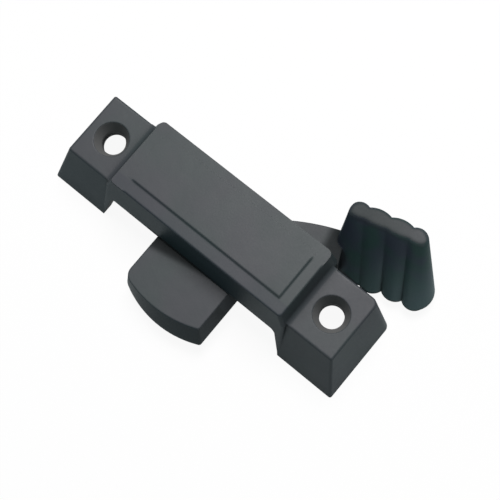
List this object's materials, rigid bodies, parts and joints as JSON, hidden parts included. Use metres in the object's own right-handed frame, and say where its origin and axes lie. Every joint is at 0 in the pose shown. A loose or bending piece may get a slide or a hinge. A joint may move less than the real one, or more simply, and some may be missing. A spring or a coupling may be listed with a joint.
{
  "type": "sliding window lock",
  "caption": "Surface-mounted lock for a sliding window: a bridge-shaped housing on two screwed feet, with a swinging lever that has a wide tongue and a ribbed upright thumb grip.",
  "frame": {"origin": "midway between the two screw holes, on the mounting face", "axes": "+X along the housing to the foot beside the grip, +Y to the grip side, +Z out of the mounting face"},
  "size_m": [0.0786, 0.0457, 0.016],
  "materials": {
    "black_paint": "satin black paint, slightly pebbled, over a zinc die casting",
    "spring_steel": "oiled spring steel",
    "plated_steel": "zinc-plated steel"
  },
  "bodies": {
    "housing_body": {"housing": "black_paint", "spring_washer": "spring_steel", "flat_washer": "plated_steel"},
    "lever_body": {"latch_lever": "black_paint"}
  },
  "joints": [
    {"name": "lever_swing", "type": "hinge", "parent": "housing_body", "child": "lever_body", "pos_m": [0, 0, 0.006], "axis": [0, 0, 1], "range_deg": [0, 90]}
  ]
}
